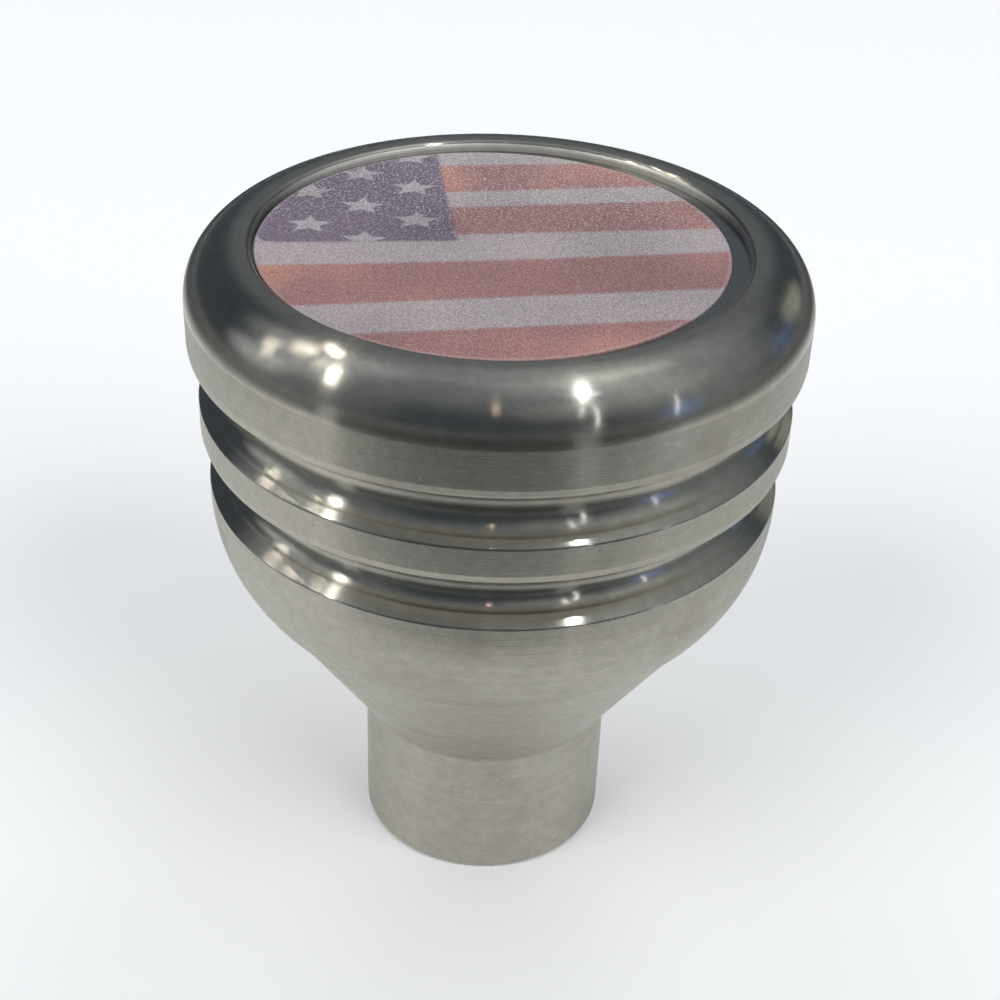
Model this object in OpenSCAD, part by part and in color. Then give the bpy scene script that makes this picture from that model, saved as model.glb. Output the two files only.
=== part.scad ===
// Gear shift knob turned from one round bar, with a printed label in a recess in its top.
// Units are millimetres. Z is the turning axis, and the origin is the centre of the neck's flat end.
// The driver sits on the -Y side, so +X is to the right of the label.

/* [Head] */
// Diameter of the head at its straight wall
head_d = 50.8; // [46:0.1:60]
// Height of the straight wall above the upper groove
wall_h = 3.45; // [1:0.05:12]
// Radius of the shoulder between the wall and the top
shoulder_r = 4.4; // [1:0.1:4.8]

/* [Recess in the top] */
// Width of the rim, from the recess out to the straight wall
rim_w = 5.5; // [5.1:0.1:9]
// Depth of the recess that the label lies in
recess_depth = 0.85; // [0.65:0.05:2.5]
// Radius of the polished round on the edge of the recess
recess_edge_r = 0.6; // [0.1:0.05:0.8]

/* [Grip grooves] */
// Radius of the round bottom of each groove
groove_r = 2.2; // [1.3:0.05:3]
// How far in from the surface above it a groove has its centre
groove_inset = 0.5; // [0:0.05:1]
// Radius of the round on the upper edge of each groove
groove_upper_edge_r = 0.65; // [0.1:0.05:1]
// Radius of the round on the lower edge of each groove
groove_lower_edge_r = 0.25; // [0.1:0.05:0.8]
// Height of the band between the two grooves
band_h = 2.65; // [1:0.05:10]
// How far the band lies in from the straight wall
band_inset = 0.7; // [0:0.05:1.2]

/* [Bowl and cone] */
// How far the side of the bowl lies in from the band
bowl_inset = 0.5; // [0:0.05:1.2]
// Height of the bowl's upright side, above its curve
bowl_side_h = 0.85; // [0.1:0.05:8]
// Radius that the bowl curves in with
bowl_r = 14; // [8:0.1:20]
// How far the bowl curves in before the cone starts
bowl_turn_in = 4.1; // [2:0.1:6]
// Height of the cone
cone_h = 13.8; // [8:0.1:25]

/* [Neck] */
// Diameter of the neck
neck_d = 22.2; // [16:0.1:30]
// Height of the neck
neck_h = 13.1; // [5:0.1:30]
// Radius of the hollow round where the cone meets the neck
neck_fillet_r = 1.5; // [0.2:0.1:4]
// Chamfer on the neck's lower edge
neck_chamfer = 0.4; // [0.1:0.05:1]

/* [Lever hole] */
// Diameter of the hole at the crests of its M10 x 1.25 thread
lever_hole_d = 8.8; // [5:0.05:14]
// Depth of the hole's straight wall
lever_hole_depth = 28; // [12:0.5:45]
// Width of the countersink at the hole's mouth
lever_hole_chamfer = 0.8; // [0.1:0.05:1.5]
// Full angle of the drill point at the blind end
drill_point = 118; // [90:1:150]

/* [Label] */
// Gap that the label would have all round if it lay in the middle of the recess
label_gap = 0.85; // [0.3:0.05:3]
// Gap left at the label's left edge, because it was stuck off centre
label_left_gap = 0.2; // [0.05:0.05:0.8]
// Thickness of the label with its clear film
label_t = 0.2; // [0.1:0.05:0.5]

/* [Hidden] */
$fn = 128;
// Largest angle between two points of an arc in the outline
arc_step = 5;
// How far the hole's cutting shapes run past the face that they open
over = 1;

head_r = head_d / 2;
recess_r = head_r - rim_w;
band_r = head_r - band_inset;
bowl_side_r = band_r - bowl_inset;
cone_r = bowl_side_r - bowl_turn_in;
neck_r = neck_d / 2;
lever_hole_r = lever_hole_d / 2;
label_r = recess_r - label_gap;
label_shift = max(label_gap - label_left_gap, 0);

// Points along an arc, which may leave out its ends where another arc already has them
function arc(centre, radius, from, to, trim = 0) =
    let (steps = ceil(abs(to - from) / arc_step))
    [for (i = [trim : steps - trim])
        let (angle = from + (to - from) * i / steps)
        centre + radius * [cos(angle), sin(angle)]];

// The round on a groove's edge touches the surface beside the groove and the groove's own circle.
// This is how far above or below the groove's centre the round has its own.
function edge_rise(groove_centre_r, surface_r, edge_r) =
    sqrt(pow(groove_r + edge_r, 2) - pow(surface_r - edge_r - groove_centre_r, 2));

// The heights are stacked up from the neck's flat end
cone_bottom = neck_h;
cone_top = cone_bottom + cone_h;
bowl_angle = acos(1 - bowl_turn_in / bowl_r);
bowl_curve_top = cone_top + bowl_r * sin(bowl_angle);
bowl_top = bowl_curve_top + bowl_side_h;
lower_groove_r = band_r - groove_inset;
lower_groove_z = bowl_top + edge_rise(lower_groove_r, bowl_side_r, groove_lower_edge_r);
band_bottom = lower_groove_z + edge_rise(lower_groove_r, band_r, groove_upper_edge_r);
band_top = band_bottom + band_h;
upper_groove_r = head_r - groove_inset;
upper_groove_z = band_top + edge_rise(upper_groove_r, band_r, groove_lower_edge_r);
wall_bottom = upper_groove_z + edge_rise(upper_groove_r, head_r, groove_upper_edge_r);
wall_top = wall_bottom + wall_h;
knob_top = wall_top + shoulder_r;
recess_floor = knob_top - recess_depth;

// The chamfered end of the neck, and the hollow round that runs from its side into the cone
function neck_outline() =
    let (cone_angle = atan((cone_r - neck_r) / cone_h))
    let (centre = [neck_r + neck_fillet_r, cone_bottom - neck_fillet_r * tan(cone_angle / 2)])
    concat(
        [[neck_r - neck_chamfer, 0], [neck_r, neck_chamfer]],
        arc(centre, neck_fillet_r, 180, 180 - cone_angle)
    );

// The bowl's curve starts at the edge of the cone and ends upright
function bowl_outline() = arc([bowl_side_r - bowl_r, bowl_curve_top], bowl_r, -bowl_angle, 0);

// A groove from the surface below it to the surface above it: edge round, hollow, edge round
function groove_outline(centre, below_r, above_r) =
    let (below_x = below_r - groove_lower_edge_r)
    let (above_x = above_r - groove_upper_edge_r)
    let (below_z = centre[1] - edge_rise(centre[0], below_r, groove_lower_edge_r))
    let (above_z = centre[1] + edge_rise(centre[0], above_r, groove_upper_edge_r))
    let (below_angle = atan2(centre[1] - below_z, centre[0] - below_x))
    let (above_angle = atan2(above_z - centre[1], above_x - centre[0]))
    concat(
        arc([below_x, below_z], groove_lower_edge_r, 0, below_angle),
        arc(centre, groove_r, below_angle + 180, above_angle, 1),
        arc([above_x, above_z], groove_upper_edge_r, above_angle + 180, 360)
    );

// The shoulder, the polished edge of the recess and the recess floor
function top_outline() = concat(
    arc([head_r - shoulder_r, wall_top], shoulder_r, 0, 90),
    arc([recess_r + recess_edge_r, knob_top - recess_edge_r], recess_edge_r, 90, 180),
    [[recess_r, recess_floor], [0, recess_floor]]
);

// Half of the bar's section, on the right of the axis
module bar_section() {
    polygon(concat(
        [[0, 0]],
        neck_outline(),
        bowl_outline(),
        groove_outline([lower_groove_r, lower_groove_z], bowl_side_r, band_r),
        groove_outline([upper_groove_r, upper_groove_z], band_r, head_r),
        top_outline()
    ));
}

// The blind hole that the shift lever screws into
module lever_hole() {
    mouth_r = lever_hole_r + lever_hole_chamfer;
    point_h = lever_hole_r / tan(drill_point / 2);
    translate([0, 0, -over]) cylinder(r = lever_hole_r, h = lever_hole_depth + over);
    translate([0, 0, lever_hole_depth]) cylinder(r1 = lever_hole_r, r2 = 0, h = point_h);
    translate([0, 0, -over]) cylinder(r = mouth_r, h = over);
    cylinder(r1 = mouth_r, r2 = lever_hole_r, h = lever_hole_chamfer);
}

module knob_body() {
    color([0.66, 0.65, 0.61]) difference() {
        rotate_extrude() bar_section();
        lever_hole();
    }
}

module flag_label() {
    color([0.72, 0.56, 0.56]) translate([-label_shift, 0, recess_floor]) cylinder(r = label_r, h = label_t);
}

knob_body();
flag_label();
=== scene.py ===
# %% [markdown]
# A gear shift knob turned from one aluminium bar
# The imported model holds the true sizes. This first cell loads it and keeps its box, and the sizes below
# are read from that box. Every length below is in metres, in the knob's own frame:
# Z is the turning axis, the neck stands on z = 0 and the driver sits on the -Y side.

# %% Load the imported knob
import math

import bmesh
import bpy
from mathutils import Matrix, Vector


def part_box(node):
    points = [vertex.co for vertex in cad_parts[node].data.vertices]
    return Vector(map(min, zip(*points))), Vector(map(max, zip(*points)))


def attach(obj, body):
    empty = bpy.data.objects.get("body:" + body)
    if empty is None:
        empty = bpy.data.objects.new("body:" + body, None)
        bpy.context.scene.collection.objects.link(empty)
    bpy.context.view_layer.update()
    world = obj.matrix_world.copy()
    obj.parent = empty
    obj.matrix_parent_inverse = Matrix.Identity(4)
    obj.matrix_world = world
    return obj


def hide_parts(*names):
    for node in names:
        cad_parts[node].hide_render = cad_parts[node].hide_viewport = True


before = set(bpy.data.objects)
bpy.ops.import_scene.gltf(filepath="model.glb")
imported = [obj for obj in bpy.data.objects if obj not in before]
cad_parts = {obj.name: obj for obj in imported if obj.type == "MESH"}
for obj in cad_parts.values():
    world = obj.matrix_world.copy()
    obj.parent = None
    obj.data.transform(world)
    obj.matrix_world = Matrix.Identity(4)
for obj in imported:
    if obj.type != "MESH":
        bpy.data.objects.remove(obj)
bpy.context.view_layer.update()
MM = 0.001
KNOB_LOW, KNOB_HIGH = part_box("knob_body")
LABEL_LOW, LABEL_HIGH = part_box("flag_label")
print("nodes", sorted(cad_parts), "height", round(KNOB_HIGH[2] / MM, 2), "mm")

# %% [markdown]
# The camera stands where the photographer's did, a hand's length in front of the knob and above it.
# Its pitch and distance come from the ellipses that the grooves and the neck make in the photo. The
# axes are built from three angles and put in a matrix, which is easier to check than three rotations.

# %% Place the camera
CAMERA_BACK = 129.3 * MM
CAMERA_UP = 118.8 * MM
CAMERA_PITCH = math.radians(33.38)
CAMERA_YAW = math.radians(0.30)
CAMERA_ROLL = math.radians(2.24)
SENSOR = 36.0
LENS = 63.67


def camera_axes(pitch, yaw, roll):
    """The camera's right, up and look directions."""
    look = Vector((math.sin(yaw) * math.cos(pitch), math.cos(yaw) * math.cos(pitch), -math.sin(pitch)))
    level_right = Vector((math.cos(yaw), -math.sin(yaw), 0))
    level_up = level_right.cross(look)
    right = math.cos(roll) * level_right + math.sin(roll) * level_up
    up = math.cos(roll) * level_up - math.sin(roll) * level_right
    return right, up, look


right, up, look = camera_axes(CAMERA_PITCH, CAMERA_YAW, CAMERA_ROLL)
camera = bpy.data.objects.new("camera", bpy.data.cameras.new("camera"))
bpy.context.collection.objects.link(camera)
camera.data.sensor_width = SENSOR
camera.data.lens = LENS
camera_turn = Matrix((right, up, -look)).transposed().to_4x4()
camera.matrix_world = Matrix.Translation((0, -CAMERA_BACK, CAMERA_UP)) @ camera_turn
bpy.context.scene.camera = camera
print("camera at", [round(v, 4) for v in camera.matrix_world.translation])

# %% [markdown]
# The knob is a lathe job, so its mesh is one outline turned round the axis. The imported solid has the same
# shape, but its arcs are short straight bands, and a polished groove shows each band as a stripe in its
# reflections. Turning a finer outline here gives smooth reflections, and room for the thread in the hole.
# The sizes are the solid's own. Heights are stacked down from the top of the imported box.

# %% Sizes of the turned bar
HEAD_R = (KNOB_HIGH[0] - KNOB_LOW[0]) / 2
TOP_Z = KNOB_HIGH[2]
SHOULDER_R = 4.4 * MM
WALL_H = 3.45 * MM
RIM_W = 5.5 * MM
RECESS_FLOOR = LABEL_LOW[2]
RECESS_EDGE_R = 0.6 * MM
GROOVE_R = 2.2 * MM
GROOVE_INSET = 0.5 * MM
GROOVE_UPPER_EDGE_R = 0.65 * MM
GROOVE_LOWER_EDGE_R = 0.25 * MM
BAND_H = 2.65 * MM
BAND_INSET = 0.7 * MM
BOWL_INSET = 0.5 * MM
BOWL_R = 14 * MM
BOWL_TURN_IN = 4.1 * MM
CONE_H = 13.8 * MM
NECK_R = 11.1 * MM
NECK_H = 13.1 * MM
NECK_FILLET_R = 1.5 * MM
NECK_CHAMFER = 0.4 * MM

RECESS_R = HEAD_R - RIM_W
BAND_R = HEAD_R - BAND_INSET
BOWL_SIDE_R = BAND_R - BOWL_INSET
CONE_R = BOWL_SIDE_R - BOWL_TURN_IN
for part, radius in (("head", HEAD_R), ("recess", RECESS_R), ("cone", CONE_R)):
    print(part, "across", round(2 * radius / MM, 2), "mm")

# %% [markdown]
# An arc is a short list of points, and a straight run gets a point just inside each end. Those extra
# points are what a modeller calls holding edges: they stop the smooth shading of the arc from spreading
# over the flat beside it.

# %% Arcs and straight runs
ARC_STEP = math.radians(3)
HOLD = 0.06 * MM
SHORTEST_RUN = 4 * HOLD
SAME_POINT = 1e-9


def arc(centre, radius, start, end):
    """Points on an arc from start to end, in degrees."""
    start, end = math.radians(start), math.radians(end)
    steps = max(2, math.ceil(abs(end - start) / ARC_STEP))
    angles = [start + (end - start) * i / steps for i in range(steps + 1)]
    return [(centre[0] + radius * math.cos(a), centre[1] + radius * math.sin(a)) for a in angles]


def with_holds(points):
    """The same outline with a point close to each end of every straight run."""
    held = [points[0]]
    for (r0, z0), (r1, z1) in zip(points, points[1:]):
        length = math.hypot(r1 - r0, z1 - z0)
        if length < SAME_POINT:
            continue
        if length > SHORTEST_RUN:
            share = HOLD / length
            held += [(r0 + (r1 - r0) * t, z0 + (z1 - z0) * t) for t in (share, 1 - share)]
        held.append((r1, z1))
    return held


def edge_rise(groove_r, surface_r, edge_r):
    """How far an edge round's centre lies above or below its groove's centre."""
    return math.sqrt((GROOVE_R + edge_r) ** 2 - (surface_r - edge_r - groove_r) ** 2)


# %% [markdown]
# Each groove is a round hollow. Its upper edge is broken with a narrow bevel and a small round. Its lower
# edge has a flat that slopes outwards, and then a small round. In the photo the bevel is the pale line
# above each hollow, the flat is the grey line below it, and the small round is the dark line under that.
# The polish stops at the hollow, so the upper edge comes back as a stretch of its own. Angles are in
# degrees here.

# %% The outline of a groove
BEVEL_W = 0.50 * MM
BEVEL_EDGE_R = 0.42 * MM


def groove(centre_r, centre_z, below_r, above_r, bevel_tilt, floor_r, lip_tilt, lip_w, lip_edge_r):
    """Two stretches from the surface below a groove to the surface above: the hollow, the upper edge."""
    tilt, bevel = math.radians(lip_tilt), math.radians(bevel_tilt)
    lip_r = below_r - lip_edge_r * (1 - math.cos(tilt)) - lip_w * math.sin(tilt)
    floor_centre_r = centre_r - GROOVE_R + floor_r
    lip_z = centre_z - math.sqrt(floor_r ** 2 - (lip_r - floor_centre_r) ** 2)
    round_z = lip_z - lip_edge_r * math.sin(tilt) - lip_w * math.cos(tilt)
    lower_edge = arc((below_r - lip_edge_r, round_z), lip_edge_r, 0, lip_tilt)
    lower_angle = math.degrees(math.atan2(lip_z - centre_z, lip_r - floor_centre_r)) % 360
    edge_x = above_r - BEVEL_W * math.sin(bevel) - BEVEL_EDGE_R * math.cos(bevel)
    above_rise = edge_rise(centre_r, edge_x + BEVEL_EDGE_R, BEVEL_EDGE_R)
    above_angle = math.degrees(math.atan2(above_rise, edge_x - centre_r))
    hollow = arc((floor_centre_r, centre_z), floor_r, lower_angle, 180)[1:]
    hollow += arc((centre_r, centre_z), GROOVE_R, 180, above_angle)[1:]
    edge_z = centre_z + above_rise
    upper_edge = arc((edge_x, edge_z), BEVEL_EDGE_R, above_angle + 180, 360 - bevel_tilt)
    bevel_top = (above_r, edge_z - BEVEL_EDGE_R * math.sin(bevel) + BEVEL_W * math.cos(bevel))
    return with_holds(lower_edge + [(lip_r, lip_z)]) + hollow, upper_edge + [bevel_top]


# %% [markdown]
# The photo doesn't show the hole that the lever screws into. It gets the thread that such a knob has: a
# helical groove, written as a radius that depends on the angle and the height. Near both ends of the
# thread the groove fades out, as it does where a tap starts and stops.

# %% The threaded hole
CORE_R = 4.4 * MM
HOLE_DEPTH = 28 * MM
MOUTH_CHAMFER = 0.8 * MM
DRILL_POINT = math.radians(118)
PITCH = 1.25 * MM
THREAD_DEPTH = 0.6 * MM
THREAD_TOP = 24 * MM
ROWS_PER_PITCH = 12
ROOT_HALF = 1 / 16
CREST_START = 3 / 8
CORNER_SHARE = 0.02


def thread_radius(angle, z):
    """Radius of the hole's wall at an angle and a height."""
    phase = (z / PITCH - angle / (2 * math.pi)) % 1
    flank = (CREST_START - abs(phase - 0.5)) / (CREST_START - ROOT_HALF)
    fade = min(1, (z - MOUTH_CHAMFER) / PITCH, (THREAD_TOP - z) / PITCH)
    return CORE_R + THREAD_DEPTH * max(0, min(1, flank)) * max(0, fade)


def hole_rows():
    """Rows from the drill point down to the countersink, each a radius or a function of the angle."""
    tip = HOLE_DEPTH + CORE_R / math.tan(DRILL_POINT / 2)
    near_corner = (CORE_R * (1 - CORNER_SHARE), HOLE_DEPTH + CORE_R * CORNER_SHARE)
    rows = [(0, tip), near_corner, (CORE_R, HOLE_DEPTH), (CORE_R, THREAD_TOP)]
    count = round((THREAD_TOP - MOUTH_CHAMFER) / PITCH * ROWS_PER_PITCH)
    for i in range(1, count):
        z = THREAD_TOP + (MOUTH_CHAMFER - THREAD_TOP) * i / count
        rows.append((lambda angle, z=z: thread_radius(angle, z), z))
    rows += [(CORE_R, MOUTH_CHAMFER), (CORE_R + MOUTH_CHAMFER, 0)]
    return rows


print("thread turns", round((THREAD_TOP - MOUTH_CHAMFER) / PITCH, 1))

# %% [markdown]
# The whole section is now a list of stretches, from the drill point round the outside to the middle of
# the recess. Each stretch names the finish that it gets: satin where the tool marks are left, bright
# where the real knob was polished. A groove's row holds its bevel's tilt, the radius of the hollow's
# lower half, the tilt and width of the flat below it, and the radius of the small round under that.

# %% The section of the bar
SATIN, BRIGHT, RECESS_WALL, THREAD, RECESS_FLAT = range(5)
POLISHED_EDGE_STEPS = 17
UPPER_GROOVE = (9, 2.2 * MM, 57, 0.68 * MM, 0.25 * MM)
LOWER_GROOVE = (15, 1.7 * MM, 60, 1.15 * MM, 0.22 * MM)


def bar_stretches():
    """The bar's stretches in order, each a finish and its rows."""
    cone_angle = math.degrees(math.atan((CONE_R - NECK_R) / CONE_H))
    fillet_z = NECK_H - NECK_FILLET_R * math.tan(math.radians(cone_angle / 2))
    cone_top = NECK_H + CONE_H
    bowl_angle = math.degrees(math.acos(1 - BOWL_TURN_IN / BOWL_R))
    wall_top = TOP_Z - SHOULDER_R
    wall_bottom = wall_top - WALL_H
    upper_r = HEAD_R - GROOVE_INSET
    lower_r = BAND_R - GROOVE_INSET
    upper_z = wall_bottom - edge_rise(upper_r, HEAD_R, GROOVE_UPPER_EDGE_R)
    band_top = upper_z - edge_rise(upper_r, BAND_R, GROOVE_LOWER_EDGE_R)
    lower_z = band_top - BAND_H - edge_rise(lower_r, BAND_R, GROOVE_UPPER_EDGE_R)
    bowl_curve_top = cone_top + BOWL_R * math.sin(math.radians(bowl_angle))
    neck = [(CORE_R + MOUTH_CHAMFER, 0), (NECK_R - NECK_CHAMFER, 0), (NECK_R, NECK_CHAMFER)]
    neck += arc((NECK_R + NECK_FILLET_R, fillet_z), NECK_FILLET_R, 180, 180 - cone_angle)
    bowl = arc((BOWL_SIDE_R - BOWL_R, bowl_curve_top), BOWL_R, -bowl_angle, 0)
    lower_groove, lower_edge = groove(lower_r, lower_z, BOWL_SIDE_R, BAND_R, *LOWER_GROOVE)
    upper_groove, upper_edge = groove(upper_r, upper_z, BAND_R, HEAD_R, *UPPER_GROOVE)
    shoulder = arc((HEAD_R - SHOULDER_R, wall_top), SHOULDER_R, 0, 90)
    recess_edge = arc((RECESS_R + RECESS_EDGE_R, TOP_Z - RECESS_EDGE_R), RECESS_EDGE_R, 90, 180)
    recess = [recess_edge[-1], (RECESS_R, RECESS_FLOOR), (0, RECESS_FLOOR)]
    return [
        (THREAD, hole_rows()),
        (SATIN, with_holds(neck + bowl + lower_groove[:1])),
        (BRIGHT, lower_groove),
        (SATIN, with_holds(lower_edge + upper_groove[:1])),
        (BRIGHT, upper_groove),
        (SATIN, with_holds(upper_edge + shoulder[:1])),
        (BRIGHT, with_holds(shoulder + recess_edge[:POLISHED_EDGE_STEPS])),
        (RECESS_WALL, with_holds(recess_edge[POLISHED_EDGE_STEPS - 1:] + recess[1:2])),
        (RECESS_FLAT, with_holds(recess[1:])),
    ]


print("rows in the section", sum(len(rows) for _, rows in bar_stretches()))

# %% [markdown]
# Turning is a loop: every row of the section becomes a ring of points, and neighbouring rings are joined
# with quads. A row on the axis is a single point, so the faces beside it are triangles. A hard edge is
# marked wherever two faces meet at more than the given angle, and the rest is shaded smooth.

# %% Turn the section into a mesh
SEGMENTS = 144
HARD_EDGE = math.radians(24)
ON_AXIS = 1e-7


def ring_of(bm, row):
    """The points of one row, or a single point on the axis."""
    radius, z = row
    if not callable(radius) and radius < ON_AXIS:
        return [bm.verts.new((0, 0, z))]
    ring = []
    for i in range(SEGMENTS):
        angle = 2 * math.pi * i / SEGMENTS
        r = radius(angle) if callable(radius) else radius
        ring.append(bm.verts.new((r * math.cos(angle), r * math.sin(angle), z)))
    return ring


def join_rings(bm, lower, upper, finish):
    """Faces between two neighbouring rings."""
    for i in range(SEGMENTS):
        j = (i + 1) % SEGMENTS
        if len(lower) == 1:
            corners = [lower[0], upper[i], upper[j]]
        elif len(upper) == 1:
            corners = [lower[i], lower[j], upper[0]]
        else:
            corners = [lower[i], lower[j], upper[j], upper[i]]
        bm.faces.new(corners).material_index = finish


def turn(name, stretches):
    """A closed mesh object turned from stretches that share their end rows."""
    bm = bmesh.new()
    ring = None
    for finish, rows in stretches:
        if ring is None:
            ring = ring_of(bm, rows[0])
        for row in rows[1:]:
            after = ring_of(bm, row)
            join_rings(bm, ring, after, finish)
            ring = after
    bmesh.ops.recalc_face_normals(bm, faces=bm.faces)
    mesh = bpy.data.meshes.new(name)
    bm.to_mesh(mesh)
    bm.free()
    mesh.shade_smooth()
    mesh.set_sharp_from_angle(angle=HARD_EDGE)
    piece = bpy.data.objects.new(name, mesh)
    bpy.context.collection.objects.link(piece)
    return piece


knob = turn("turned_knob", bar_stretches())
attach(knob, "root")
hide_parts("knob_body")
print("turned knob:", len(knob.data.polygons), "faces")

# %% [markdown]
# The label is a printed film under a clear laminate, cut as a disc. It is turned in the same way as the
# bar, with a small round on its cut edge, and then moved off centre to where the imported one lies.

# %% Cut the label
LABEL_R = (LABEL_HIGH[0] - LABEL_LOW[0]) / 2
LABEL_X = (LABEL_HIGH[0] + LABEL_LOW[0]) / 2
LABEL_TOP = LABEL_HIGH[2]
LABEL_EDGE_R = 0.1 * MM


def label_stretches():
    """The label's section: underside, cut edge with its round, top."""
    edge = arc((LABEL_R - LABEL_EDGE_R, LABEL_TOP - LABEL_EDGE_R), LABEL_EDGE_R, 0, 90)
    return [(0, with_holds([(0, LABEL_LOW[2]), (LABEL_R, LABEL_LOW[2])] + edge + [(0, LABEL_TOP)]))]


label = turn("flag_label_film", label_stretches())
label.data.transform(Matrix.Translation((LABEL_X, 0, 0)))
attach(label, "root")
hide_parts("flag_label")
print("label", round(2 * LABEL_R / MM, 2), "mm, moved", round(LABEL_X / MM, 2), "mm")

# %% [markdown]
# Shader effects that several finishes share are node groups. A group has named sockets, so each material
# can set its own values. These helpers keep the node code short: the first makes a group with its
# sockets, the second links a socket or sets it, and each of the others adds a node or two.

# %% Helpers for node groups
COLOUR_SHARE, COLOUR_A, COLOUR_B = 0, 6, 7
COLOUR_RESULT = 2


def new_group(name, inputs, outputs):
    """An empty shader node group with its sockets, its own input node and its output node."""
    group = bpy.data.node_groups.new(name, "ShaderNodeTree")
    for label_text, kind, default in inputs:
        socket = group.interface.new_socket(label_text, in_out="INPUT", socket_type=kind)
        socket.default_value = default
    for label_text, kind in outputs:
        group.interface.new_socket(label_text, in_out="OUTPUT", socket_type=kind)
    return group, group.nodes.new("NodeGroupInput"), group.nodes.new("NodeGroupOutput")


def feed(tree, socket, value):
    """Links a socket to another socket, or gives it a plain value."""
    if isinstance(value, bpy.types.NodeSocket):
        tree.links.new(value, socket)
    elif value is not None:
        socket.default_value = value


def math_node(tree, operation, *values, clamp=False):
    """A Math node's result."""
    node = tree.nodes.new("ShaderNodeMath")
    node.operation = operation
    node.use_clamp = clamp
    for socket, value in zip(node.inputs, values):
        feed(tree, socket, value)
    return node.outputs[0]


def smooth_step(tree, value, low, high, from_value=0.0, to_value=1.0):
    """A soft step: from_value at low, to_value at high."""
    node = tree.nodes.new("ShaderNodeMapRange")
    node.interpolation_type = "SMOOTHSTEP"
    settings = {"Value": value, "From Min": low, "From Max": high, "To Min": from_value, "To Max": to_value}
    for name, given in settings.items():
        feed(tree, node.inputs[name], given)
    return node.outputs["Result"]


def length_of(tree, x, y):
    """The length of the arrow from the middle to x and y."""
    squares = [math_node(tree, "MULTIPLY", side, side) for side in (x, y)]
    return math_node(tree, "SQRT", math_node(tree, "ADD", *squares))


def mix_colour(tree, share, first, second, blend="MIX"):
    """A mix of two colours."""
    node = tree.nodes.new("ShaderNodeMix")
    node.data_type = "RGBA"
    node.blend_type = blend
    for number, given in ((COLOUR_SHARE, share), (COLOUR_A, first), (COLOUR_B, second)):
        feed(tree, node.inputs[number], given)
    return node.outputs[COLOUR_RESULT]


def place_group(tree, group, **values):
    """An instance of a group in a material, with its inputs set by name."""
    node = tree.nodes.new("ShaderNodeGroup")
    node.node_tree = group
    for name, value in values.items():
        feed(tree, node.inputs[name.replace("_", " ")], value)
    return node.outputs


def object_position(tree):
    """The point on the surface in the knob's own frame: the vector and its X, Y and Z."""
    place = tree.nodes.new("ShaderNodeTexCoord").outputs["Object"]
    split = tree.nodes.new("ShaderNodeSeparateXYZ")
    tree.links.new(place, split.inputs[0])
    return place, split.outputs


# %% [markdown]
# A lathe leaves fine rings. They run round the part, so the texture has to change fast along the section
# and slowly round it. A four-dimensional noise does both: X and Y are stretched, while Z and the distance
# from the axis are squeezed. The rings then follow side walls and flat faces alike, with no seam. A few
# deeper rings have steep sides. They catch a lamp well above or below its highlight, which draws
# the thin streak that runs through each highlight on a turned part.

# %% Group: turning marks
DEEP_RING = (0.60, 0.68)
BAND_RATE = 0.12
RING_DETAIL = 3.0


def turning_marks_group():
    """Fine rings that a lathe tool leaves, deeper rings, and broad soft bands of uneven polish."""
    group, given, out = new_group(
        "Turning Marks",
        [("Rings Per Metre", "NodeSocketFloat", 6000.0), ("Round Scale", "NodeSocketFloat", 40.0)],
        [("Rings", "NodeSocketFloat"), ("Deep Rings", "NodeSocketFloat"), ("Bands", "NodeSocketFloat")],
    )
    _, xyz = object_position(group)
    radius = length_of(group, xyz[0], xyz[1])
    for name, squeeze in (("Rings", 1.0), ("Bands", BAND_RATE)):
        rate = math_node(group, "MULTIPLY", given.outputs["Rings Per Metre"], squeeze)
        vector = group.nodes.new("ShaderNodeCombineXYZ")
        feed(group, vector.inputs[0], math_node(group, "MULTIPLY", xyz[0], given.outputs["Round Scale"]))
        feed(group, vector.inputs[1], math_node(group, "MULTIPLY", xyz[1], given.outputs["Round Scale"]))
        feed(group, vector.inputs[2], math_node(group, "MULTIPLY", xyz[2], rate))
        noise = group.nodes.new("ShaderNodeTexNoise")
        noise.noise_dimensions = "4D"
        noise.inputs["Scale"].default_value = 1.0
        noise.inputs["Detail"].default_value = RING_DETAIL
        feed(group, noise.inputs["Vector"], vector.outputs[0])
        feed(group, noise.inputs["W"], math_node(group, "MULTIPLY", radius, rate))
        feed(group, out.inputs[name], noise.outputs["Fac"])
        if name == "Rings":
            feed(group, out.inputs["Deep Rings"], smooth_step(group, noise.outputs["Fac"], *DEEP_RING))
    return group


TURNING_MARKS = turning_marks_group()
print("group", TURNING_MARKS.name)

# %% [markdown]
# Handling leaves its own marks on the metal: small dark specks, cloudy stains, a few fine scratches in
# every direction, and the small rings of dried drops. Each is a mask from 0 to 1, and the material
# decides what it does. A grid of random cells places the specks and drops: a cell's random colour says
# whether it has one, and the distance from its middle gives the shape.

# %% Group: handling marks
SPECK_FADE = (0.02, 0.13)
DROP_INSIDE = (0.05, 0.085)
DROP_OUTSIDE = (0.085, 0.12)
STAIN_FADE = (0.50, 0.78)
MOTTLE_PER_METRE = 900.0
SCRATCH_FADE = (0.0, 0.010)
SCRATCH_WARP_PER_METRE = 30.0
SCRATCH_WARP = (0.02, 0.02, 0.02)
SCRATCH_PATCHES_PER_METRE = 140.0
SCRATCH_PATCH_FADE = (0.58, 0.68)


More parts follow.
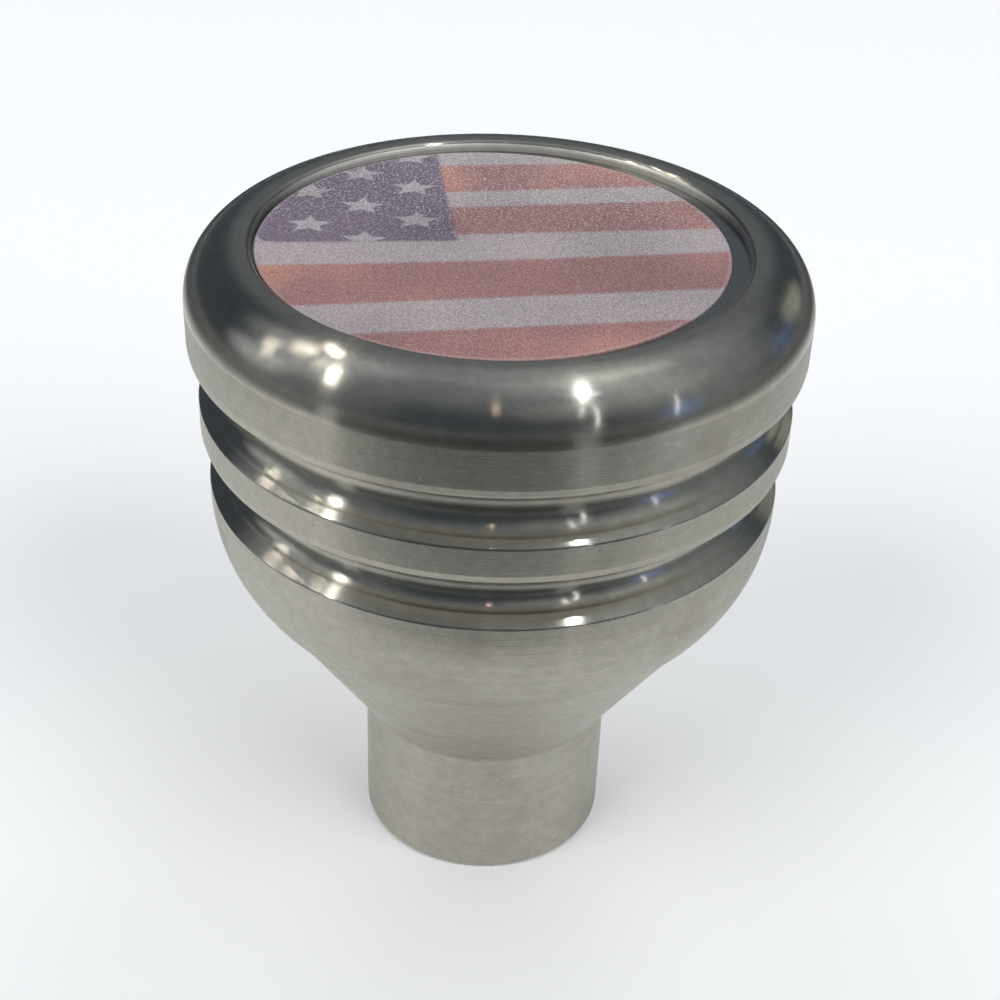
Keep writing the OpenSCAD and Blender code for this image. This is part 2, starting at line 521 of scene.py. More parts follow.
def scattered(tree, place, scale, share, rise, fall):
    """A mask of spots in some of the cells: full between two distances, or from the middle outwards."""
    cells = tree.nodes.new("ShaderNodeTexVoronoi")
    feed(tree, cells.inputs["Vector"], place)
    feed(tree, cells.inputs["Scale"], scale)
    split = tree.nodes.new("ShaderNodeSeparateColor")
    tree.links.new(cells.outputs["Color"], split.inputs[0])
    mask = math_node(tree, "LESS_THAN", split.outputs[0], share)
    distance = cells.outputs["Distance"]
    if rise:
        mask = math_node(tree, "MULTIPLY", mask, smooth_step(tree, distance, *rise))
    return math_node(tree, "MULTIPLY", mask, smooth_step(tree, distance, *fall, 1.0, 0.0))


def soft_noise(tree, place, scale, detail=2.0, roughness=0.5):
    """A noise value from 0 to 1."""
    noise = tree.nodes.new("ShaderNodeTexNoise")
    feed(tree, noise.inputs["Vector"], place)
    feed(tree, noise.inputs["Scale"], scale)
    noise.inputs["Detail"].default_value = detail
    noise.inputs["Roughness"].default_value = roughness
    return noise.outputs["Fac"]


def handling_marks_group():
    """Masks for specks, stains, scratches and dried drops, and a fine mottle."""
    group, given, out = new_group(
        "Handling Marks",
        [
            ("Speck Scale", "NodeSocketFloat", 520.0),
            ("Speck Share", "NodeSocketFloat", 0.05),
            ("Stain Scale", "NodeSocketFloat", 130.0),
            ("Scratch Scale", "NodeSocketFloat", 170.0),
            ("Drop Scale", "NodeSocketFloat", 330.0),
            ("Drop Share", "NodeSocketFloat", 0.03),
        ],
        [(name, "NodeSocketFloat") for name in ("Specks", "Stains", "Scratches", "Drops", "Mottle")],
    )
    place, _ = object_position(group)
    for kind, rise, fall in (("Speck", None, SPECK_FADE), ("Drop", DROP_INSIDE, DROP_OUTSIDE)):
        scale, share = given.outputs[f"{kind} Scale"], given.outputs[f"{kind} Share"]
        feed(group, out.inputs[f"{kind}s"], scattered(group, place, scale, share, rise, fall))
    clouds = soft_noise(group, place, given.outputs["Stain Scale"], detail=5.0, roughness=0.6)
    feed(group, out.inputs["Stains"], smooth_step(group, clouds, *STAIN_FADE))
    feed(group, out.inputs["Mottle"], soft_noise(group, place, MOTTLE_PER_METRE, detail=6.0, roughness=0.7))

    warp = group.nodes.new("ShaderNodeTexNoise")
    feed(group, warp.inputs["Vector"], place)
    warp.inputs["Scale"].default_value = SCRATCH_WARP_PER_METRE
    bent = group.nodes.new("ShaderNodeVectorMath")
    bent.operation = "MULTIPLY_ADD"
    feed(group, bent.inputs[0], warp.outputs["Color"])
    bent.inputs[1].default_value = SCRATCH_WARP
    feed(group, bent.inputs[2], place)
    lines = group.nodes.new("ShaderNodeTexVoronoi")
    lines.feature = "DISTANCE_TO_EDGE"
    feed(group, lines.inputs["Vector"], bent.outputs[0])
    feed(group, lines.inputs["Scale"], given.outputs["Scratch Scale"])
    thin = smooth_step(group, lines.outputs["Distance"], *SCRATCH_FADE, 1.0, 0.0)
    patches = smooth_step(group, soft_noise(group, place, SCRATCH_PATCHES_PER_METRE), *SCRATCH_PATCH_FADE)
    feed(group, out.inputs["Scratches"], math_node(group, "MULTIPLY", thin, patches))
    return group


HANDLING_MARKS = handling_marks_group()
print("group", HANDLING_MARKS.name)

# %% [markdown]
# Each metal finish is a Principled BSDF with both groups in it. The satin walls keep their close, fine
# rings and are rougher. The polished shoulder and grooves are smoother, but a few deeper rings and dried
# drops are left on them. Turned metal reflects more widely across its rings than along them, which is
# what the anisotropic setting is for. The wall of the recess is raw from the tool, and its near half lies
# in its own shade, which is painted on it as a darker colour.

# %% The metal finishes
ALUMINIUM = (0.47, 0.45, 0.39, 1)
RAW_ALUMINIUM = (0.80, 0.77, 0.68, 1)
# Painted shade: the colour of the recess wall's near half, darker because that half lies in shade.
SHADED_ALUMINIUM = (0.17, 0.17, 0.17, 1)
FLOOR_ALUMINIUM = (0.33, 0.33, 0.32, 1)
STAIN_TINT = (0.80, 0.78, 0.76, 1)
SPECK_TINT = (0.45, 0.42, 0.40, 1)
BUMP_DEPTH = 0.02 * MM
NEAR_TO_FAR = (4 * MM, 15 * MM)
ACROSS_RINGS = 0.25
NOISE_SPAN = (0.3, 0.7)
BAND_SHADE = (0.98, 1.015)
MOTTLE_SHADE = (0.92, 1.07)
RING_ROUGHNESS = (0.92, 1.08)
STAIN_ROUGHNESS = 0.05
SCRATCH_ROUGHNESS = 0.10
SCRATCH_HEIGHT = -0.6
MARK_HEIGHTS = (("Specks", -1.0), ("Drops", 5.0), ("Mottle", 0.8))


def metal_finish(
    name, tint, roughness, relief, deep, rings_per_metre, anisotropy,
    metallic=1.0, specks=0.05, drops=0.0, stain=0.5, painted_near_shade=None,
):
    """One finish of the bar. A painted shade colour, when given, takes over on the driver's side."""
    material = bpy.data.materials.new(name)
    material.use_nodes = True
    tree = material.node_tree
    shader = tree.nodes["Principled BSDF"]
    shader.inputs["Metallic"].default_value = metallic
    shader.inputs["Anisotropic"].default_value = anisotropy
    shader.inputs["Anisotropic Rotation"].default_value = ACROSS_RINGS
    tangent = tree.nodes.new("ShaderNodeTangent")
    tangent.direction_type = "RADIAL"
    tangent.axis = "Z"
    tree.links.new(tangent.outputs[0], shader.inputs["Tangent"])
    marks = place_group(tree, TURNING_MARKS, Rings_Per_Metre=rings_per_metre)
    wear = place_group(tree, HANDLING_MARKS, Speck_Share=specks, Drop_Share=drops)
    uneven = smooth_step(tree, marks["Bands"], *NOISE_SPAN, *BAND_SHADE)
    mottle = smooth_step(tree, wear["Mottle"], *NOISE_SPAN, *MOTTLE_SHADE)
    mottled = math_node(tree, "MULTIPLY", uneven, mottle)
    # Painted shade: towards the driver's side the colour goes over to the darker shaded one.
    if painted_near_shade:
        _, xyz = object_position(tree)
        tint = mix_colour(tree, smooth_step(tree, xyz[1], *NEAR_TO_FAR), painted_near_shade, tint)
    base = mix_colour(tree, 1.0, tint, mottled, "MULTIPLY")
    base = mix_colour(tree, math_node(tree, "MULTIPLY", wear["Stains"], stain), base, STAIN_TINT, "MULTIPLY")
    base = mix_colour(tree, wear["Specks"], base, SPECK_TINT, "MULTIPLY")
    feed(tree, shader.inputs["Base Color"], base)
    rough = smooth_step(tree, marks["Rings"], *NOISE_SPAN, *(roughness * share for share in RING_ROUGHNESS))
    rough = math_node(tree, "MULTIPLY_ADD", wear["Stains"], STAIN_ROUGHNESS, rough)
    rough = math_node(tree, "MULTIPLY_ADD", wear["Scratches"], SCRATCH_ROUGHNESS, rough, clamp=True)
    feed(tree, shader.inputs["Roughness"], rough)
    height = math_node(tree, "MULTIPLY_ADD", wear["Scratches"], SCRATCH_HEIGHT, marks["Rings"])
    for mark, rise in MARK_HEIGHTS:
        height = math_node(tree, "MULTIPLY_ADD", wear[mark], rise, height)
    height = math_node(tree, "MULTIPLY_ADD", marks["Deep Rings"], deep, height)
    bump = tree.nodes.new("ShaderNodeBump")
    bump.inputs["Strength"].default_value = relief
    bump.inputs["Distance"].default_value = BUMP_DEPTH
    feed(tree, bump.inputs["Height"], height)
    feed(tree, shader.inputs["Normal"], bump.outputs[0])
    return material


for finish in (
    metal_finish("satin_turned_aluminium", ALUMINIUM, 0.28, 0.07, 0.2, 9000.0, 0.95, specks=0.04),
    metal_finish(
        "bright_polished_aluminium", ALUMINIUM, 0.165, 0.07, 2.0, 6000.0, 1.0,
        specks=0.0, drops=0.09, stain=0.2,
    ),
    metal_finish(
        "faced_recess_aluminium", RAW_ALUMINIUM, 0.45, 0.4, 0.5, 5000.0, 0.6,
        metallic=0.7, painted_near_shade=SHADED_ALUMINIUM,
    ),
    metal_finish("cut_thread_aluminium", ALUMINIUM, 0.30, 0.3, 0.0, 9000.0, 0.2, specks=0.0),
    metal_finish("recess_floor_aluminium", FLOOR_ALUMINIUM, 0.20, 0.07, 0.5, 6000.0, 0.9, specks=0.01),
):
    knob.data.materials.append(finish)
print("finishes", [m.name for m in knob.data.materials])

# %% [markdown]
# The flag on the label is plain geometry: every stripe edge is a shallow curve over the label, and the
# blue corner is bounded by two more. One group tells whether a point lies above such a curve. Adding and
# subtracting those masks gives the stripes.

# %% Group: above a curve
EDGE_BLUR = 0.30 * MM


def above_curve_group():
    """1 above the curve height + slope x + bow x squared, and 0 below it. Lengths are in millimetres."""
    group, given, out = new_group(
        "Above Curve",
        [(name, "NodeSocketFloat", 0.0) for name in ("Along", "Across", "Height", "Slope", "Bow")],
        [("Above", "NodeSocketFloat")],
    )
    along = given.outputs["Along"]
    curve = math_node(group, "MULTIPLY_ADD", along, given.outputs["Bow"], given.outputs["Slope"])
    curve = math_node(group, "MULTIPLY_ADD", along, curve, given.outputs["Height"])
    distance = math_node(group, "SUBTRACT", given.outputs["Across"], curve)
    feed(group, out.inputs["Above"], smooth_step(group, distance, -EDGE_BLUR / MM, EDGE_BLUR / MM))
    return group


ABOVE_CURVE = above_curve_group()
print("group", ABOVE_CURVE.name)

# %% [markdown]
# The stars stand in a slanted lattice. Two steps lead from any star to its neighbours. Solving for how
# many of each step a point is away, and keeping only the fraction, folds the whole lattice into one cell,
# so a single star formula draws them all. In polar form one edge of a five-pointed star is a straight
# line, and folding the angle into a tenth of a turn repeats it ten times.

# %% Group: star field
STAR_AT = (-7.0, 10.65)
STEP_ONE = (-4.0, -4.05)
STEP_TWO = (-4.6, 2.5)
STAR_R = 1.65
STAR_WIDEN = 1.18
STAR_EDGE_ANGLE = math.radians(66)
STAR_POINTS = 5
STAR_BLUR = 0.10


def blend_of(tree, first, first_rate, second, second_rate):
    """The sum of two values, each times a plain number."""
    second_part = math_node(tree, "MULTIPLY", second, second_rate)
    return math_node(tree, "MULTIPLY_ADD", first, first_rate, second_part)


def star_field_group():
    """A mask of five-pointed stars on a slanted lattice. Lengths are in millimetres."""
    group, given, out = new_group(
        "Star Field",
        [
            ("Along", "NodeSocketFloat", 0.0),
            ("Across", "NodeSocketFloat", 0.0),
            ("Star Radius", "NodeSocketFloat", STAR_R),
        ],
        [("Stars", "NodeSocketFloat")],
    )
    (one_x, one_y), (two_x, two_y) = STEP_ONE, STEP_TWO
    x = math_node(group, "SUBTRACT", given.outputs["Along"], STAR_AT[0])
    y = math_node(group, "SUBTRACT", given.outputs["Across"], STAR_AT[1])
    area = one_x * two_y - one_y * two_x
    shares = []
    for over_x, over_y in ((two_y / area, -two_x / area), (-one_y / area, one_x / area)):
        steps = blend_of(group, x, over_x, y, over_y)
        shares.append(math_node(group, "SUBTRACT", steps, math_node(group, "ROUND", steps)))
    near_x = blend_of(group, shares[0], one_x, shares[1], two_x)
    near_y = blend_of(group, shares[0], one_y, shares[1], two_y)
    near_x = math_node(group, "DIVIDE", near_x, STAR_WIDEN)
    angle = math_node(group, "ARCTAN2", near_x, near_y)
    folded = math_node(group, "PINGPONG", angle, math.pi / STAR_POINTS)
    from_edge = math_node(group, "COSINE", math_node(group, "SUBTRACT", STAR_EDGE_ANGLE, folded))
    edge = math_node(group, "MULTIPLY", length_of(group, near_x, near_y), from_edge)
    limit = math_node(group, "MULTIPLY", given.outputs["Star Radius"], math.cos(STAR_EDGE_ANGLE))
    inside = math_node(group, "SUBTRACT", limit, edge)
    feed(group, out.inputs["Stars"], smooth_step(group, inside, -STAR_BLUR, STAR_BLUR))
    return group


STAR_FIELD = star_field_group()
print("group", STAR_FIELD.name)

# %% [markdown]
# Fine grain gives the film its look: a speckle in the ink, the tiny facets of a matt laminate, and painted
# highlights, bright points where a facet would face a lamp. Broad soft patches of lighter, darker and more
# orange colour run through the printed flag as well. One group gives all four as values, and the print's
# colour and gloss use them.

# %% Group: film grain
GLINT_FROM = (0.58, 0.70)
BROAD_PATCHES_PER_METRE = 75.0
FACET_RATE = 1.6
GLINT_RATE = 0.8


def film_grain_group():
    """Speckle, facets and painted glints of a matt laminate, and the broad tone patches of the printed flag.
    """
    group, given, out = new_group(
        "Film Grain",
        [("Grains Per Metre", "NodeSocketFloat", 6500.0)],
        [(name, "NodeSocketFloat") for name in ("Speckle", "Facets", "Painted Glints", "Broad Patches")],
    )
    place, _ = object_position(group)
    grains = given.outputs["Grains Per Metre"]
    feed(group, out.inputs["Speckle"], soft_noise(group, place, grains, 1.0))
    facets = math_node(group, "MULTIPLY", grains, FACET_RATE)
    feed(group, out.inputs["Facets"], soft_noise(group, place, facets, 1.0))
    points = soft_noise(group, place, math_node(group, "MULTIPLY", grains, GLINT_RATE), 0.0)
    feed(group, out.inputs["Painted Glints"], smooth_step(group, points, *GLINT_FROM))
    feed(group, out.inputs["Broad Patches"], soft_noise(group, place, BROAD_PATCHES_PER_METRE, 1.0))
    return group


FILM_GRAIN = film_grain_group()
print("group", FILM_GRAIN.name)

# %% [markdown]
# The print itself: white, then the four red stripes, then the blue corner with its stars, then the broad
# tone patches and the grain over all of it. The colours are pale because the matt laminate scatters white
# light over the ink. Painted highlights are laid on as pale glints, more of them towards the far side. The
# laminate is clear beyond the print at the very edge, which shows as a paler rim, and a painted sheen where
# the cut edge catches light is part of that rim.

# %% The printed film
PRINT_WHITE = (0.352, 0.304, 0.310, 1)
PRINT_RED = (0.282, 0.150, 0.146, 1)
PRINT_ORANGE = (0.39, 0.190, 0.150, 1)
PRINT_BLUE = (0.150, 0.115, 0.155, 1)
PRINT_STAR = (0.335, 0.295, 0.315, 1)
PAINTED_GLINT = (0.72, 0.70, 0.70, 1)
CLEAR_MARGIN_AND_SHEEN = (0.42, 0.37, 0.37, 1)
RIM_W = 0.30
RIM_SHARE = 0.25
ORANGE_PATCHES = (0.48, 0.68)
PATCH_SPAN, PATCH_TONE = (0.32, 0.62), (0.86, 1.06)
GRAIN_SPAN, SPECKLE_SHADE = (0.36, 0.64), (0.76, 1.24)
GLINT_SPAN, GLINT_SHARE = (-6.0, 12.0), (0.10, 0.42)
FILM_ROUGHNESS = (0.30, 0.50)
FILM_SPECULAR = 0.4
FILM_RELIEF = 0.5
FILM_BUMP_DEPTH = 0.03 * MM
RED_STRIPES = (
    ((16.2, 0.137, -0.001), (10.65, 0.155, 0.0)),
    ((7.45, 0.155, 0.0), (2.0, 0.14, 0.0)),
    ((-2.9, 0.15, 0.001), (-9.4, 0.172, 0.0)),
    ((-14.25, 0.17, 0.0), (-20.5, 0.17, 0.0)),
)
CORNER_LOW = (0.75, 0.105, 0.0)
CORNER_SIDE = (-2.8, -0.14, 0.0)


def printed_film():
    """The label's material."""
    material = bpy.data.materials.new("printed_film")
    material.use_nodes = True
    tree = material.node_tree
    shader = tree.nodes["Principled BSDF"]
    _, xyz = object_position(tree)
    along = math_node(tree, "MULTIPLY", math_node(tree, "SUBTRACT", xyz[0], LABEL_X), 1 / MM)
    across = math_node(tree, "MULTIPLY", xyz[1], 1 / MM)

    def above(curve, x=along, y=across):
        """A mask of what lies above one edge in the flag."""
        height, slope, bow = curve
        return place_group(tree, ABOVE_CURVE, Along=x, Across=y, Height=height, Slope=slope, Bow=bow)["Above"]

    red = None
    for top, bottom in RED_STRIPES:
        stripe = math_node(tree, "SUBTRACT", above(bottom), above(top), clamp=True)
        red = stripe if red is None else math_node(tree, "ADD", red, stripe, clamp=True)
    left_of_side = math_node(tree, "SUBTRACT", 1.0, above(CORNER_SIDE, across, along))
    corner = math_node(tree, "MULTIPLY", above(CORNER_LOW), left_of_side)
    all_stars = place_group(tree, STAR_FIELD, Along=along, Across=across)["Stars"]
    stars = math_node(tree, "MULTIPLY", all_stars, corner)
    grain = place_group(tree, FILM_GRAIN)
    # Broad patches of tone: lighter, darker and more orange here and there.
    ink = mix_colour(tree, smooth_step(tree, grain["Broad Patches"], *ORANGE_PATCHES), PRINT_RED, PRINT_ORANGE)
    colour = mix_colour(tree, red, PRINT_WHITE, ink)
    colour = mix_colour(tree, corner, colour, PRINT_BLUE)
    colour = mix_colour(tree, stars, colour, PRINT_STAR)
    shade = math_node(
        tree, "MULTIPLY",
        smooth_step(tree, grain["Broad Patches"], *PATCH_SPAN, *PATCH_TONE),
        smooth_step(tree, grain["Speckle"], *GRAIN_SPAN, *SPECKLE_SHADE),
    )
    colour = mix_colour(tree, 1.0, colour, shade, "MULTIPLY")
    # Painted highlights: pale glints mixed into the colour, more of them towards the far side.
    painted_glint_side = smooth_step(tree, across, *GLINT_SPAN, *GLINT_SHARE)
    colour = mix_colour(tree, math_node(tree, "MULTIPLY", grain["Painted Glints"], painted_glint_side), colour, PAINTED_GLINT)
    # A paler rim at the edge: the clear laminate margin, together with a painted sheen.
    print_edge = LABEL_R / MM - RIM_W
    reach = length_of(tree, along, across)
    margin_and_sheen = smooth_step(tree, reach, print_edge - RIM_W / 2, print_edge + RIM_W / 2, 0.0, RIM_SHARE)
    colour = mix_colour(tree, margin_and_sheen, colour, CLEAR_MARGIN_AND_SHEEN)
    feed(tree, shader.inputs["Base Color"], colour)
    feed(tree, shader.inputs["Roughness"], smooth_step(tree, grain["Facets"], *GRAIN_SPAN, *FILM_ROUGHNESS))
    shader.inputs["Specular IOR Level"].default_value = FILM_SPECULAR
    bump = tree.nodes.new("ShaderNodeBump")
    bump.inputs["Strength"].default_value = FILM_RELIEF
    bump.inputs["Distance"].default_value = FILM_BUMP_DEPTH
    feed(tree, bump.inputs["Height"], grain["Facets"])
    feed(tree, shader.inputs["Normal"], bump.outputs[0])
    return material


label.data.materials.append(printed_film())
print("print has", len(RED_STRIPES), "red stripes in view")

# %% [markdown]
# The knob stands on a plain pale floor in soft light from all round, so its shadow is faint. The floor is
# lit a little below white, which keeps its colour from clipping.

# %% Floor
FLOOR_COLOUR = (0.92, 0.92, 0.91, 1)
FLOOR_ROUGHNESS = 0.9
FLOOR_SPECULAR = 0.1
FLOOR_SIZE = 6.0


def pale_floor():
    """A wide plain floor under the knob."""
    bpy.ops.mesh.primitive_plane_add(size=FLOOR_SIZE, location=(0, 0, 0))
    floor = bpy.context.object
    floor.name = "floor"
    material = bpy.data.materials.new("pale_floor")
    material.use_nodes = True
    shader = material.node_tree.nodes["Principled BSDF"]
    shader.inputs["Base Color"].default_value = FLOOR_COLOUR
    shader.inputs["Roughness"].default_value = FLOOR_ROUGHNESS
    shader.inputs["Specular IOR Level"].default_value = FLOOR_SPECULAR
    floor.data.materials.append(material)
    return floor


pale_floor()
print("floor colour", FLOOR_COLOUR[:3])

# %% [markdown]
# Polished metal shows the room more than it shows itself. The walls, the bowl and the neck mirror a pale
# table that falls into shade in front of the knob. That shade is painted on a black card laid just outside
# the picture, as photographers lay one: a painted shadow that only reflections see. It casts no shadow and
# no view shows it. It leaves the pale floor clear round the knob, with a soft edge, and lays a thin painted
# shade over it on the right. Two narrow gaps run outwards through the dark part: each one draws a faint
# upright streak on the walls, a painted reflection like the streaks of reflected lamps.

# %% Painted shadow card
CARD_SIZE = 3.0
CARD_Z = 0.2 * MM
PAINTED_SHADOW_COLOUR = (0.02, 0.02, 0.022, 1)
FRONT_FADE = (0.045, 0.098)
ROUND_FADE = (0.09, 0.22)
SIDE_FADE = (0.08, 0.35)
CARD_SHARE = 0.96
CARD_SIDE_SHARE = 0.84
VEIL_FADE = (0.03, 0.06)
VEIL_LEFT = 0.0
VEIL_RIGHT = 0.18
GAPS = ((-55, 0.40), (29, 0.22))
GAP_HALF = (1.5, 6.0)


def painted_shadow_card():
    """A painted shadow card over the floor that only reflections see: clear round the knob, dark in front and
    far out.
    """
    bpy.ops.mesh.primitive_plane_add(size=CARD_SIZE, location=(0, 0, CARD_Z))
    card = bpy.context.object
    card.name = "painted_shadow_card"
    card.visible_camera = card.visible_diffuse = card.visible_shadow = card.visible_transmission = False
    material = bpy.data.materials.new("painted_shadow_card")
    material.use_nodes = True
    tree = material.node_tree
    shader = tree.nodes["Principled BSDF"]
    shader.inputs["Base Color"].default_value = PAINTED_SHADOW_COLOUR
    shader.inputs["Roughness"].default_value = 1.0
    shader.inputs["Specular IOR Level"].default_value = 0.0
    _, xyz = object_position(tree)
    reach = length_of(tree, xyz[0], xyz[1])
    towards_driver = math_node(tree, "MULTIPLY", xyz[1], -1.0)
    in_front = smooth_step(tree, towards_driver, *FRONT_FADE)
    far_out = smooth_step(tree, reach, *ROUND_FADE)
    share = smooth_step(tree, math_node(tree, "ABSOLUTE", xyz[0]), *SIDE_FADE, CARD_SHARE, CARD_SIDE_SHARE)
    dark = math_node(tree, "MULTIPLY", math_node(tree, "MAXIMUM", in_front, far_out), share)
    turn_here = math_node(tree, "DEGREES", math_node(tree, "ARCTAN2", xyz[0], towards_driver))
    # Painted reflections: each gap thins the card, so a faint upright streak of pale floor shows on the
    # walls.
    for turn_deg, depth in GAPS:
        beside = math_node(tree, "ABSOLUTE", math_node(tree, "SUBTRACT", turn_here, turn_deg))
        dark = math_node(tree, "MULTIPLY", dark, smooth_step(tree, beside, *GAP_HALF, 1 - depth, 1.0))
    # Painted shade: a thin veil over the floor on the right, seen only in reflections.
    veil = smooth_step(tree, xyz[0], -VEIL_FADE[1], VEIL_FADE[1], VEIL_LEFT, VEIL_RIGHT)
    veil = math_node(tree, "MULTIPLY", veil, smooth_step(tree, reach, *VEIL_FADE))
    feed(tree, shader.inputs["Alpha"], math_node(tree, "MAXIMUM", dark, veil))
    card.data.materials.append(material)
    return card


painted_shadow_card()
print("card darkens from", FRONT_FADE[0], "m in front")

# %% [markdown]
# The room itself is the world's colour. A patch group gives a soft round spot of light in one direction,
# and the room is a dim base with such patches added: a grey ceiling, a window side on the left, a paler
# wall and two small blue things on the right, and a few dim patches at the back. Each row is a patch's
# turn and rise, where its edge starts and ends, all in degrees, and its colour.

# %% Room
ROOM_DIM = (0.070, 0.084, 0.104, 1)
ROOM_PATCHES = (
    (75, 86, 12, 60, (0.19, 0.20, 0.215)),
    (96, 74, 4, 24, (0.20, 0.21, 0.22)),
    (142, 63, 2, 11, (0.55, 0.54, 0.50)),
    (120, 73, 2, 9, (0.45, 0.45, 0.44)),
    (-118, 55, 4, 24, (0.30, 0.31, 0.33)),
    (-88, 42, 4, 20, (0.28, 0.29, 0.31)),
    (-95, 20, 4, 18, (0.45, 0.47, 0.50)),
    (-70, 26, 8, 40, (0.12, 0.125, 0.13)),
    (82, 34, 12, 46, (0.20, 0.21, 0.22)),
    (74, 42, 6, 20, (0.12, 0.12, 0.11)),
    (118, 9, 3, 11, (0.06, 0.10, 0.24)),
    (65, 6, 4, 11, (0.03, 0.09, 0.34)),
    (136, 13, 4, 12, (0.36, 0.35, 0.30)),
    (26, 40, 4, 20, (0.16, 0.155, 0.15)),
    (-180, 62, 8, 30, (0.12, 0.125, 0.13)),
    (150, 50, 6, 26, (0.16, 0.165, 0.17)),
    (180, 30, 6, 22, (0.12, 0.125, 0.13)),
)


def direction_of(turn_deg, rise_deg):
    """The direction at an angle round the knob from the driver's side, and an angle above level."""
    turn_angle, rise = math.radians(turn_deg), math.radians(rise_deg)
    return Vector((
        math.sin(turn_angle) * math.cos(rise),
        -math.cos(turn_angle) * math.cos(rise),
        math.sin(rise),
    ))


def room_patch_group():
    """A soft round spot of light in one direction."""
    group, given, out = new_group(
        "Room Patch",
        [
            ("Direction", "NodeSocketVector", (0, 0, 1)),
            ("Inner Cosine", "NodeSocketFloat", 0.9),
            ("Outer Cosine", "NodeSocketFloat", 0.5),
        ],
        [("Mask", "NodeSocketFloat")],
    )
    toward = group.nodes.new("ShaderNodeVectorMath")
    toward.operation = "DOT_PRODUCT"
    feed(group, toward.inputs[0], group.nodes.new("ShaderNodeTexCoord").outputs["Generated"])
    feed(group, toward.inputs[1], given.outputs["Direction"])
    outer, inner = given.outputs["Outer Cosine"], given.outputs["Inner Cosine"]
    feed(group, out.inputs["Mask"], smooth_step(group, toward.outputs["Value"], outer, inner))
    return group


def room_light():
    """The world: a dim room with its patches."""
    world = bpy.data.worlds.new("room")
    bpy.context.scene.world = world
    world.use_nodes = True
    tree = world.node_tree
    patch = room_patch_group()
    colour = ROOM_DIM
    for turn_deg, rise_deg, inner, outer, tint in ROOM_PATCHES:
        mask = place_group(
            tree, patch, Direction=direction_of(turn_deg, rise_deg),
            Inner_Cosine=math.cos(math.radians(inner)), Outer_Cosine=math.cos(math.radians(outer)),
        )["Mask"]
        light = mix_colour(tree, mask, (0, 0, 0, 1), (*tint, 1))
        colour = mix_colour(tree, 1.0, colour, light, "ADD")
    feed(tree, tree.nodes["Background"].inputs["Color"], colour)
    return world


room_light()
print("room patches", len(ROOM_PATCHES))

# %% [markdown]
# Four large soft lamps light the floor and the label from all round. They are hidden from reflections, so
# that the metal shows the room instead. Small lamps stand for the ceiling spots and windows of the
# photo, and only reflections show them: each makes one highlight on the shoulder and repeats it in both
# grooves. Each row starts with a lamp's turn and rise in degrees, found back from those highlights. After
# them come its size in metres, its power and its tint.

# %% Lamps
SOFT_DISTANCE = 2.6
SOFT_SIZE = 1.7
SOFT_LAMPS = ((-50, 40, 31.0), (50, 40, 31.0), (140, 50, 11.0), (-140, 50, 11.0))
SPOT_DISTANCE = 1.5
WARM = (1, 0.93, 0.84)
COOL = (0.95, 0.98, 1)
PINK = (1, 0.80, 0.75)
SPOTS = (
    (-76, 48, 0.045, 2.4, (1, 0.98, 0.95)),
    (66, 70, 0.035, 2.3, COOL),
    (-138, 57, 0.040, 0.35, WARM),
    (-150, 52, 0.040, 0.20, WARM),
    (0, 48, 0.020, 0.06, PINK),
)
WINDOWS = (
    (-128, 53, 0.02, 0.12, 0.16, WARM),
    (-116, 52, 0.02, 0.16, 0.30, WARM),
    (-107, 40, 0.02, 0.16, 0.22, WARM),
    (-96, 31, 0.02, 0.14, 0.12, WARM),
    (-93, 52, 0.02, 0.10, 0.12, WARM),
    (64, 8, 0.14, 0.14, 0.03, (0.25, 0.42, 1)),
)


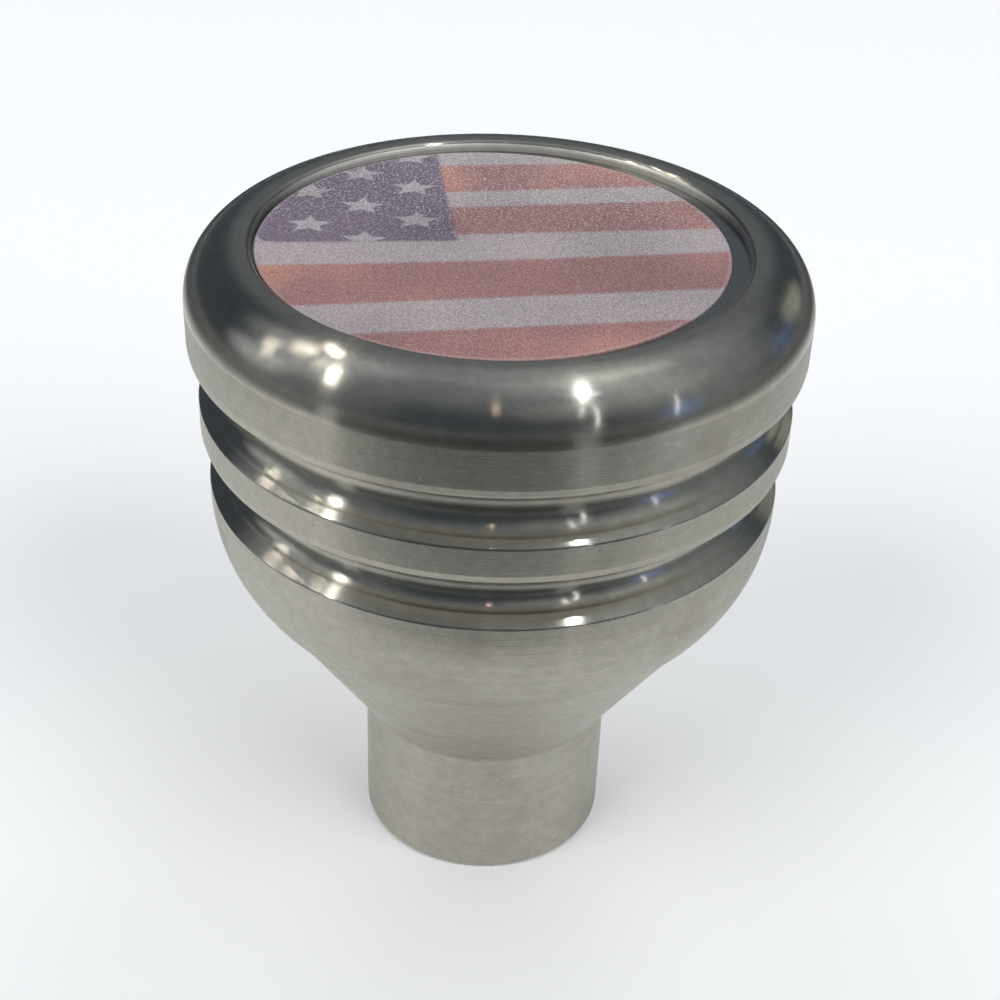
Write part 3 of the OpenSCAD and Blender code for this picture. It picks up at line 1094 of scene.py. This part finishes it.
def lamp(name, turn_deg, rise_deg, distance, width, height, power, tint=(1, 1, 1)):
    """An area lamp aimed at the knob's head: round, or a window if its height differs from its width."""
    direction = direction_of(turn_deg, rise_deg)
    data = bpy.data.lights.new(name, "AREA")
    data.shape = "DISK" if width == height else "RECTANGLE"
    data.size = width
    if data.shape == "RECTANGLE":
        data.size_y = height
    data.energy = power
    data.color = tint
    light = bpy.data.objects.new(name, data)
    light.location = Vector((0, 0, TOP_Z)) + direction * distance
    light.rotation_euler = direction.to_track_quat("Z", "Y").to_euler()
    bpy.context.collection.objects.link(light)
    return light


for number, (*direction, power) in enumerate(SOFT_LAMPS):
    light = lamp(f"soft_{number}", *direction, SOFT_DISTANCE, SOFT_SIZE, SOFT_SIZE, power)
    light.visible_glossy = False
for number, (*direction, size, power, tint) in enumerate(SPOTS):
    light = lamp(f"ceiling_spot_{number}", *direction, SPOT_DISTANCE, size, size, power, tint)
    light.visible_diffuse = False
for number, (*direction, width, height, power, tint) in enumerate(WINDOWS):
    light = lamp(f"window_{number}", *direction, SPOT_DISTANCE, width, height, power, tint)
    light.visible_diffuse = False

# %% [markdown]
# The highlights in the photo have thin upright tails. A tail is the reflection of something long and
# narrow in the room, and on a round shoulder it only looks straight if that thing leans. So each of these
# lamps is a narrow strip between two directions: the one that the tail's upper end reflects, and the one
# that its lower end does. Only reflections show them too.

# %% Strips for the highlights' tails
STRIPS = (
    ((44, 58), (31, 33), 0.018, 0.15, COOL),
    ((40, 45), (33, 5), 0.020, 0.24, COOL),
    ((67, 28), (61, 1), 0.020, 0.12, COOL),
    ((0, 76), (0, 50), 0.012, 0.02, PINK),
)


def strip_lamp(name, upper, lower, width, power, tint):
    """A narrow area lamp that spans from one direction to another."""
    high, low = direction_of(*upper), direction_of(*lower)
    middle, along = (high + low).normalized(), (high - low).normalized()
    length = 2 * SPOT_DISTANCE * math.tan(high.angle(low) / 2)
    strip = lamp(name, 0, 0, SPOT_DISTANCE, width, length, power, tint)
    strip.location = Vector((0, 0, TOP_Z)) + middle * SPOT_DISTANCE
    strip.rotation_euler = Matrix((along.cross(middle), along, middle)).transposed().to_euler()
    strip.visible_diffuse = False
    return strip


for number, (upper, lower, width, power, tint) in enumerate(STRIPS):
    strip_lamp(f"strip_{number}", upper, lower, width, power, tint)
print("strips", len(STRIPS))

# %% [markdown]
# Last, the plain colour transform.

# %% Finish
bpy.context.scene.view_settings.view_transform = "Standard"
